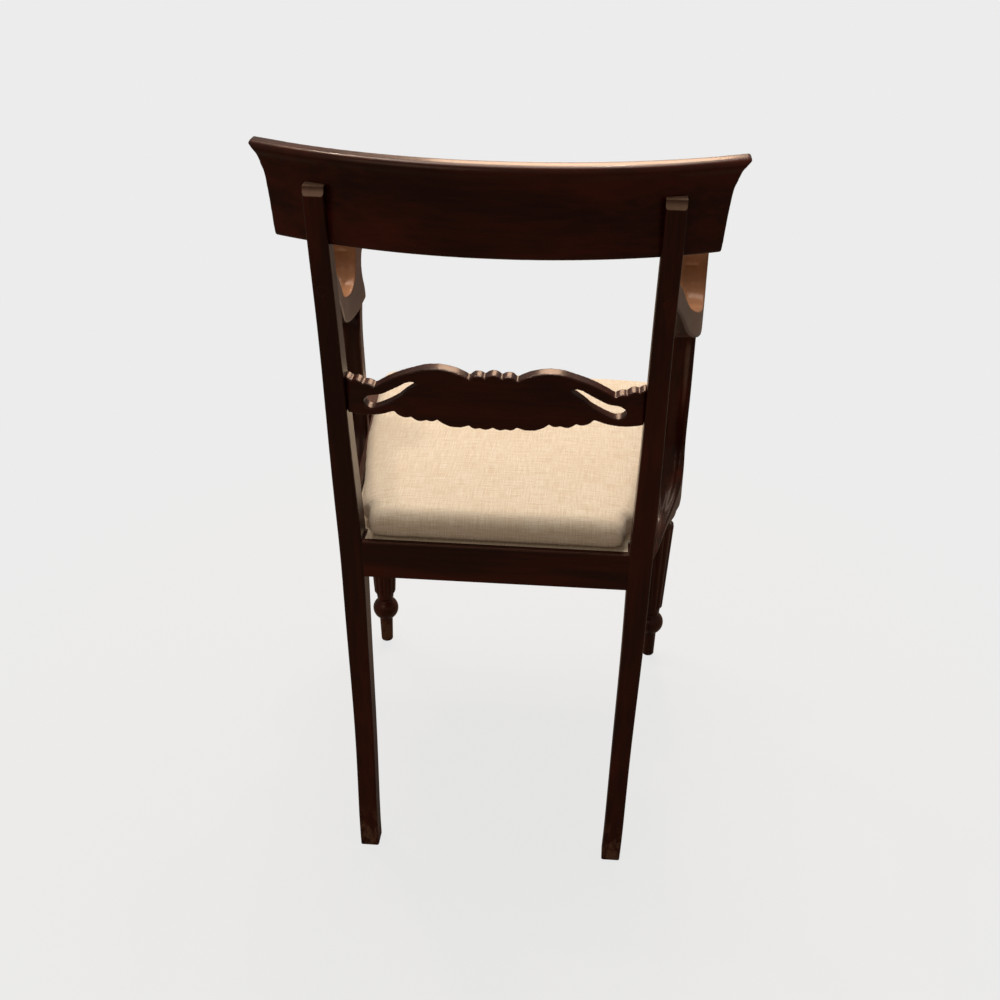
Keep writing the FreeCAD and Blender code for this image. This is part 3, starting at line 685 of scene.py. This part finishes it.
def loose_copy(node: bpy.types.Object, name: str) -> bpy.types.Object:
    """Copy a node into a new piece and join its loose triangles.

    Args:
        node: The CAD node.
        name: Name of the new piece.

    Returns:
        The closed copy, standing where the node stands.
    """
    piece = node.copy()
    piece.data = node.data.copy()
    piece.name = piece.data.name = name
    piece.parent = None
    for key in list(piece.keys()):
        del piece[key]
    bpy.context.scene.collection.objects.link(piece)
    make_active(piece)
    if piece.data.has_custom_normals:
        bpy.ops.mesh.customdata_custom_splitnormals_clear()
    bpy.ops.object.mode_set(mode="EDIT")
    bpy.ops.mesh.select_all(action="SELECT")
    bpy.ops.mesh.remove_doubles(threshold=JOIN_DISTANCE)
    bpy.ops.object.mode_set(mode="OBJECT")
    return piece


def even_mesh(piece: bpy.types.Object, voxel: float) -> None:
    """Divide a closed piece into small even faces.

    Args:
        piece: The piece.
        voxel: Edge of a face.
    """
    remesh = piece.modifiers.new("even_mesh", "REMESH")
    remesh.mode = "VOXEL"
    remesh.voxel_size = voxel
    apply_modifiers(piece)


def smooth_shading(piece: bpy.types.Object) -> None:
    """Shade every face smooth."""
    make_active(piece)
    bpy.ops.object.shade_smooth()


@dataclass(frozen=True)
class HandWork:
    """One piece with eased edges: its node, its new name, its face size and its smoothing passes."""

    node: str
    name: str
    voxel: float
    passes: int


@dataclass
class WoodenFrame:
    """Everything that is glued or screwed together: back, rails, legs and arms."""

    nodes: dict[str, bpy.types.Object]
    mahogany: FrenchPolishedMahogany = FrenchPolishedMahogany()
    beech: SawnBeech = SawnBeech()
    steel: DulledSteel = DulledSteel()
    across: tuple[str, ...] = ("crest_rail", "mid_rail", "rear_seat_rail", "front_seat_rail")
    upright: tuple[str, ...] = ("back_post_left", "back_post_right", "front_leg_left", "front_leg_right",
                                "arm_support_left", "arm_support_right")
    fore_and_aft: tuple[str, ...] = ("side_seat_rail_left", "side_seat_rail_right", "arm_left", "arm_right",
                                     "arm_screw_plugs")
    hand_worked: tuple[HandWork, ...] = (
        HandWork("mid_rail", "carved_mid_rail", 1.0 * MM, 14),
        HandWork("crest_rail", "beaded_crest", 1.3 * MM, 18),
        HandWork("arm_left", "scroll_arm_left", 1.4 * MM, 8),
        HandWork("arm_right", "scroll_arm_right", 1.4 * MM, 8),
        HandWork("arm_support_left", "hollowed_support_left", 1.4 * MM, 7),
        HandWork("arm_support_right", "hollowed_support_right", 1.4 * MM, 7))
    # Painted sheen on the arms, tilted up and back, and on the post tops, standing for light reflected off
    # the polish.
    painted_sheens: tuple[tuple[str, PaintedSheen], ...] = (
        ("arm_left", PaintedSheen(500 * MM, (0.0, 0.8, 0.6), (0.05, 0.5), PaintedSheenTint.HANDS)),
        ("arm_right", PaintedSheen(500 * MM, (0.0, 0.8, 0.6), (0.05, 0.5), PaintedSheenTint.HANDS)),
        ("back_post", PaintedSheen(822 * MM, (0.0, 0.0, 1.0), (0.12, 0.4), PaintedSheenTint.CLOTHS)))
    board_step: float = 1.37
    bow_radius: float = 526 * MM
    bead_proud: float = 2.5 * MM
    cove_depth: float = 3 * MM
    cove_low: float = 843.0 * MM
    cove_high: float = 857.2 * MM

    def build(self) -> None:
        """Dress every fixed piece and give the carved ones their worn edges."""
        boards = ((Grain.ACROSS, self.across), (Grain.UPRIGHT, self.upright),
                  (Grain.FORE_AND_AFT, self.fore_and_aft))
        seed = 0.0
        for grain, names in boards:
            for name in names:
                seed += self.board_step
                painted_sheen = next((t for start, t in self.painted_sheens if name.startswith(start)), None)
                dress(self.nodes[name], self.mahogany.material("mahogany_" + name, grain, seed, painted_sheen))
        block = self.beech.material("beech_block", Grain.UPRIGHT)
        metal = self.steel.material("dulled_steel")
        for name, node in self.nodes.items():
            if name.startswith("corner_block_") and not name.endswith("screws"):
                dress(node, block)
            elif name.endswith("screws"):
                dress(node, metal)
        for work in self.hand_worked:
            self.carve(work)

    def carve(self, work: HandWork) -> bpy.types.Object:
        """Stand a softened copy in for a node.

        Args:
            work: What the copy is made from and how far its edges are eased.

        Returns:
            The finished piece.
        """
        piece = loose_copy(self.nodes[work.node], work.name)
        if work.node == "crest_rail":
            self.fill_cove(piece)
        even_mesh(piece, work.voxel)
        ease = piece.modifiers.new("eased_edges", "SMOOTH")
        ease.factor = 0.5
        ease.iterations = work.passes
        apply_modifiers(piece)
        smooth_shading(piece)
        dress(piece, self.nodes[work.node].active_material)
        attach(piece, Body.FRAME.value)
        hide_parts(work.node)
        LOG.info("%s: %d faces", work.name, len(piece.data.polygons))
        return piece

    def fill_cove(self, piece: bpy.types.Object) -> None:
        """Bring the hollow under the crest's bead out to the plain back face.

        Args:
            piece: Copy of the crest rail.
        """
        places = coordinates(piece)
        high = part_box("crest_rail")[1]
        middle = high.y - self.bow_radius - self.bead_proud
        out = places[:, :2] - np.array([0.0, middle])
        radius = np.linalg.norm(out, axis=1)
        height = places[:, 2]
        hollow = (height > self.cove_low) & (height < self.cove_high) & (
            radius > self.bow_radius - self.cove_depth) & (radius < self.bow_radius)
        places[hollow, :2] += out[hollow] * (self.bow_radius / radius[hollow] - 1.0)[:, None]
        set_coordinates(piece, places)


@dataclass(frozen=True)
class Pucker:
    """The small gathers of the cover along its lower edge, in waves per metre of turn."""

    depth: float = 1.1 * MM
    rim: float = 0.9
    drawn: float = 1.2
    fade: float = 1.6
    slant: float = 1.7
    fine: float = 240.0
    sway: float = 37.0
    coarse: float = 131.0
    lag: float = 1.3

    def draw_in(self, places: np.ndarray, out: np.ndarray, rise: np.ndarray) -> np.ndarray:
        """Work out how far each point is drawn in.

        Args:
            places: Points of the cover.
            out: Place of each point from the middle, 1 at the edge, along both sides.
            rise: Height of each point, 1 at the top.

        Returns:
            A distance for each point.
        """
        side = np.clip((np.abs(out).max(axis=1) - self.rim) / (1 - self.rim), 0, 1)
        low = side * np.clip(self.drawn - rise * self.fade, 0, 1)
        run = places[:, 0] + places[:, 1] * self.slant
        wave = (np.sin(run * self.fine + 2.0 * np.sin(run * self.sway))
                + np.sin(run * self.coarse + self.lag)) * 0.5
        return low * (1.0 + wave) * 0.5 * self.depth


@dataclass
class LooseSeat:
    """The drop-in seat: frame, webbing, tacks and the stuffed linen cover."""

    nodes: dict[str, bpy.types.Object]
    linen: UndyedLinen = UndyedLinen()
    webbing: JuteWebbing = JuteWebbing()
    beech: SawnBeech = SawnBeech()
    steel: DulledSteel = DulledSteel()
    side: float = 13.0 * MM
    roll: float = 21.0 * MM
    shoulder: float = 17.0 * MM
    crown_run: float = 150.0 * MM
    bands: int = 44
    voxel: float = 5.0 * MM
    pressure: float = 4.0
    most_swell: float = 3.5 * MM
    steps: int = 20
    quality: int = 6
    cover_mass: float = 0.3
    stretch: float = 25.0
    stiffness: float = 1.5
    held: float = 9.0 * MM
    side_gap: float = 0.4 * MM
    outline_margin: float = 0.5 * MM
    flattest: float = 0.02
    shoulder_corner: float = 4 * MM
    crown_corner: float = 22 * MM
    crown_power: float = 2.4
    pucker: Pucker = Pucker()

    def build(self) -> None:
        """Dress the hidden parts and make the cushion."""
        low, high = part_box("seat_cushion")
        middle = (low.y + high.y) / 2
        along = self.beech.covered("covered_side", Grain.FORE_AND_AFT, self.linen, middle)
        across = self.beech.covered("covered_cross", Grain.ACROSS, self.linen, middle)
        for name in ("seat_frame_left", "seat_frame_right"):
            dress(self.nodes[name], along)
        for name in ("seat_frame_front", "seat_frame_rear"):
            dress(self.nodes[name], across)
        dress(self.nodes["seat_webbing"], self.webbing.material("jute_webbing"))
        dress(self.nodes["webbing_tacks"], self.steel.material("tack_steel"))
        self.cushion()

    def cushion(self) -> bpy.types.Object:
        """Make the stuffed cover and seat it on its frame.

        Returns:
            The finished cushion.
        """
        low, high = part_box("seat_cushion")
        piece = loose_copy(self.nodes["seat_cushion"], "linen_cushion")
        even_mesh(piece, self.voxel)
        self.fill_out(piece, low, high)
        self.stuff(piece)
        self.settle(piece, low, high)
        smooth = piece.modifiers.new("fine_mesh", "SUBSURF")
        smooth.levels = smooth.render_levels = 1
        apply_modifiers(piece)
        self.thread_map(piece, high)
        smooth_shading(piece)
        dress(piece, self.linen.material("undyed_linen"))
        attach(piece, Body.SEAT.value)
        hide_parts("seat_cushion")
        LOG.info("%s: %d faces", piece.name, len(piece.data.polygons))
        return piece

    def fill_out(self, piece: bpy.types.Object, low: Vector, high: Vector) -> None:
        """Give the stuffing an even crown, a round shoulder and nearly upright sides.

        Args:
            piece: The cushion.
            low: Lowest corner of the seat's space.
            high: Highest corner of the seat's space.
        """
        places = coordinates(piece)
        edges = np.linspace(places[:, 1].min(), places[:, 1].max() + 0.1 * MM, self.bands + 1)
        band = np.digitize(places[:, 1], edges) - 1
        widest = np.array([np.abs(places[band == i, 0]).max() for i in range(self.bands)])
        half = np.interp(places[:, 1], (edges[:-1] + edges[1:]) / 2, widest) + self.outline_margin
        gaps = np.stack([half - places[:, 0], half + places[:, 0],
                         high.y - places[:, 1], places[:, 1] - low.y])

        def near(softness: float) -> np.ndarray:
            """Distance to the outline, eased in the corners."""
            return -softness * np.log(np.exp(-gaps / softness).sum(axis=0))

        shoulder = np.clip(near(self.shoulder_corner) / self.shoulder, 0, 1)
        crown = np.clip(near(self.crown_corner) / self.crown_run, 0, 1)
        top = (low.z + self.side + self.roll * np.sqrt(1 - (1 - shoulder) ** 2)
               + (high.z - low.z - self.side - self.roll) * (1 - (1 - crown) ** self.crown_power))
        above = places[:, 2] > low.z + self.side
        places[above, 2] = top[above]
        set_coordinates(piece, places)

    def stuff(self, piece: bpy.types.Object) -> None:
        """Blow the cover up against its weave and keep the result.

        Args:
            piece: The cushion.
        """
        before = coordinates(piece)
        cloth = piece.modifiers.new("stuffing", "CLOTH")
        settings = cloth.settings
        settings.quality = self.quality
        settings.mass = self.cover_mass
        settings.use_pressure = True
        settings.uniform_pressure_force = self.pressure
        settings.tension_stiffness = settings.compression_stiffness = self.stretch
        settings.bending_stiffness = self.stiffness
        settings.effector_weights.gravity = 0
        rim = piece.vertex_groups.new(name="tacked_rim")
        rim.add([i for i, z in enumerate(before[:, 2]) if z < before[:, 2].min() + self.held], 1.0, "REPLACE")
        settings.vertex_group_mass = rim.name
        cloth.collision_settings.use_collision = False
        cloth.point_cache.frame_start = 1
        cloth.point_cache.frame_end = self.steps
        scene = bpy.context.scene
        for frame in range(1, self.steps + 1):
            scene.frame_set(frame)
        apply_modifiers(piece)
        scene.frame_set(1)
        move = coordinates(piece) - before
        length = np.linalg.norm(move, axis=1)
        cap = np.where(length > self.most_swell, self.most_swell / np.maximum(length, 1e-9), 1.0)
        set_coordinates(piece, before + move * cap[:, None])

    def settle(self, piece: bpy.types.Object, low: Vector, high: Vector) -> None:
        """Fill the seat's space again, with the cover drawn tight and puckered at its lower edge.

        Args:
            piece: The cushion.
            low: Lowest corner of the seat's space.
            high: Highest corner of the seat's space.
        """
        places = coordinates(piece)
        for axis, gap in ((0, self.side_gap), (1, self.side_gap), (2, 0.0)):
            now_low, now_high = places[:, axis].min(), places[:, axis].max()
            wide = (high[axis] - low[axis] - 2 * gap) / (now_high - now_low)
            places[:, axis] = low[axis] + gap + (places[:, axis] - now_low) * wide
        middle = np.array([(low.x + high.x) / 2, (low.y + high.y) / 2])
        half = np.array([(high.x - low.x) / 2, (high.y - low.y) / 2])
        out = (places[:, :2] - middle) / half
        rise = (places[:, 2] - low.z) / (high.z - low.z)
        places[:, :2] -= out * self.pucker.draw_in(places, out, rise)[:, None]
        set_coordinates(piece, places)

    def thread_map(self, piece: bpy.types.Object, high: Vector) -> None:
        """Lay the cloth's thread directions over the cover as its own map, in metres.

        On the top the threads run with the seat; on a side they carry on down it.

        Args:
            piece: The cushion.
            high: Highest corner of the seat's space.
        """
        mesh = piece.data
        count = len(mesh.vertices)
        places = coordinates(piece)
        normals = np.empty(count * 3, np.float32)
        mesh.vertices.foreach_get("normal", normals)
        normals = normals.reshape(-1, 3)
        drop = high.z - places[:, 2]
        flat = normals[:, 0] ** 2 + normals[:, 1] ** 2 + self.flattest
        across = places[:, 0] + np.sign(places[:, 0]) * drop * normals[:, 0] ** 2 / flat
        middle = places[:, 1].mean()
        down = places[:, 1] + np.sign(places[:, 1] - middle) * drop * normals[:, 1] ** 2 / flat
        loops = np.empty(len(mesh.loops), np.int32)
        mesh.loops.foreach_get("vertex_index", loops)
        layer = mesh.uv_layers.new(name="threads")
        values = np.stack([across[loops], down[loops]], axis=1).astype(np.float32)
        layer.data.foreach_set("uv", values.ravel())


@dataclass(frozen=True)
class Lamp:
    """One square soft lamp: where it hangs, the point it faces, its edge, watts and colour."""

    name: str
    place: tuple[float, float, float]
    aim: tuple[float, float, float]
    size: float
    power: float
    colour: Colour

    def hang(self) -> None:
        """Add the lamp to the scene."""
        data = bpy.data.lights.new(self.name, "AREA")
        data.shape = "SQUARE"
        data.size = self.size
        data.energy = self.power
        data.color = self.colour
        lamp = bpy.data.objects.new(self.name, data)
        lamp.location = self.place
        lamp.rotation_euler = (Vector(self.aim) - Vector(self.place)).to_track_quat("-Z", "Y").to_euler()
        bpy.context.scene.collection.objects.link(lamp)


SEAT_AIM = (0.0, 0.0, 0.5)
BACK_AIM = (0.0, 0.0, 0.7)
WARM = (1.0, 0.86, 0.7)
PALE_WARM = (1.0, 0.86, 0.72)


@dataclass
class Studio:
    """Pale floor, soft light and the camera behind and above the chair."""

    focal_px: float = 1299.0
    frame_px: float = 1000.0
    centre_px: tuple[float, float] = (523.6, 571.6)
    place: tuple[float, float, float] = (-0.112, 1.45225, 1.191)
    yaw: float = math.radians(-3.55)
    pitch: float = math.radians(32.18)
    roll: float = math.radians(1.12)
    sensor: float = 36.0
    reach: tuple[float, float] = (0.05, 60.0)
    pale: Colour = srgb(236, 236, 236)
    floor_size: float = 30.0
    floor_drop: float = 0.2 * MM
    floor_white: Colour = (0.84, 0.84, 0.84)
    floor_plain: Colour = (0.18, 0.135, 0.1)
    mirrored: float = 0.06
    floor_glow: float = 0.9
    shadow_reach: tuple[float, float] = (0.45, 1.1)
    ambient: float = 0.29
    mirrored_loss: float = 0.3
    room: Colour = PALE_WARM
    lamps: tuple[Lamp, ...] = (
        Lamp("high_softbox", (0.0, -0.75, 2.75), SEAT_AIM, 1.6, 40.0, (1.0, 0.93, 0.85)),
        Lamp("front_panel", (0.0, -3.1, 2.2), BACK_AIM, 1.1, 30.0, (1.0, 0.7, 0.48)),
        Lamp("small_spot_left", (0.75, -0.75, 2.3), BACK_AIM, 0.12, 7.0, WARM),
        Lamp("small_spot_right", (-0.2, -1.1, 2.1), BACK_AIM, 0.12, 7.0, WARM),
        Lamp("behind", (1.2, 2.4, 2.4), SEAT_AIM, 1.8, 9.0, PALE_WARM))

    def build(self) -> None:
        """Make floor, world, lamps and camera."""
        self.floor()
        self.world()
        for lamp in self.lamps:
            lamp.hang()
        self.camera()

    def floor(self) -> None:
        """Wide floor that shows pale and keeps a soft part of the shadow."""
        clear_selection()
        bpy.ops.mesh.primitive_plane_add(size=self.floor_size, location=(0, 0, -self.floor_drop))
        floor = bpy.context.object
        floor.name = "studio_floor"
        r = Recipe("studio_floor")
        seen, _ = self.rays(r)
        away = r.add("ShaderNodeVectorMath", {"operation": "LENGTH"},
                     {0: r.add("ShaderNodeTexCoord", result="Object")}, "Value")
        glowing = self.floor_glow + away.rise(*self.shadow_reach) * (1.0 - self.floor_glow)
        shade = r.add("ShaderNodeBsdfDiffuse", None, {"Color": self.floor_white})
        glow = r.add("ShaderNodeEmission", None, {"Color": self.pale, "Strength": 1.0})
        soft = r.add("ShaderNodeMixShader", None, {0: glowing, 1: shade, 2: glow})
        plain = r.add("ShaderNodeBsdfDiffuse", None, {"Color": self.floor_plain})
        dress(floor, r.close(r.add("ShaderNodeMixShader", None, {0: seen, 1: plain, 2: soft})))

    def world(self) -> None:
        """Pale surroundings to the camera and a dim even light to the object."""
        r = Recipe("studio_world", world=True)
        seen, glossy = self.rays(r)
        strength = self.ambient - glossy * (self.mirrored_loss * self.ambient)
        dim = r.add("ShaderNodeBackground", None, {"Color": self.room, "Strength": strength})
        pale = r.add("ShaderNodeBackground", None, {"Color": self.pale, "Strength": 1.0})
        both = r.add("ShaderNodeMixShader", None, {0: seen, 1: dim, 2: pale})
        bpy.context.scene.world = r.close(both)

    def rays(self, r: Recipe) -> tuple[Signal, Signal]:
        """Sort the rays that meet the floor or the world.

        Args:
            r: Nodes of the floor or the world.

        Returns:
            Share of the pale studio that a ray sees, and whether the ray is mirrored.
        """
        camera = r.add("ShaderNodeLightPath", result="Is Camera Ray")
        glossy = r.add("ShaderNodeLightPath", result="Is Glossy Ray")
        return (camera + glossy * self.mirrored).smaller(1.0), glossy

    def camera(self) -> None:
        """Camera at the photograph's place, angle and frame."""
        forward = Vector((-math.sin(self.yaw) * math.cos(self.pitch),
                          -math.cos(self.yaw) * math.cos(self.pitch), -math.sin(self.pitch)))
        right = forward.cross(Vector((0, 0, 1))).normalized()
        up = right.cross(forward)
        c, s = math.cos(self.roll), math.sin(self.roll)
        across, upward = c * right + s * up, c * up - s * right
        data = bpy.data.cameras.new("camera")
        data.sensor_width = self.sensor
        data.lens = self.focal_px / self.frame_px * data.sensor_width
        data.shift_x = (self.frame_px / 2 - self.centre_px[0]) / self.frame_px
        data.shift_y = (self.centre_px[1] - self.frame_px / 2) / self.frame_px
        data.clip_start, data.clip_end = self.reach
        camera = bpy.data.objects.new("camera", data)
        turn = Matrix((across, upward, -forward)).transposed().to_4x4()
        camera.matrix_world = Matrix.Translation(Vector(self.place)) @ turn
        bpy.context.scene.collection.objects.link(camera)
        bpy.context.scene.camera = camera


def main() -> None:
    """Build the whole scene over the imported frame."""
    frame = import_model()
    scene = bpy.context.scene
    scene.view_settings.view_transform = "Standard"
    WoodenFrame(frame["nodes"]).build()
    LooseSeat(frame["nodes"]).build()
    Studio().build()
    clear_selection()
    LOG.info("scene ready")


if __name__ == "__main__":
    main()
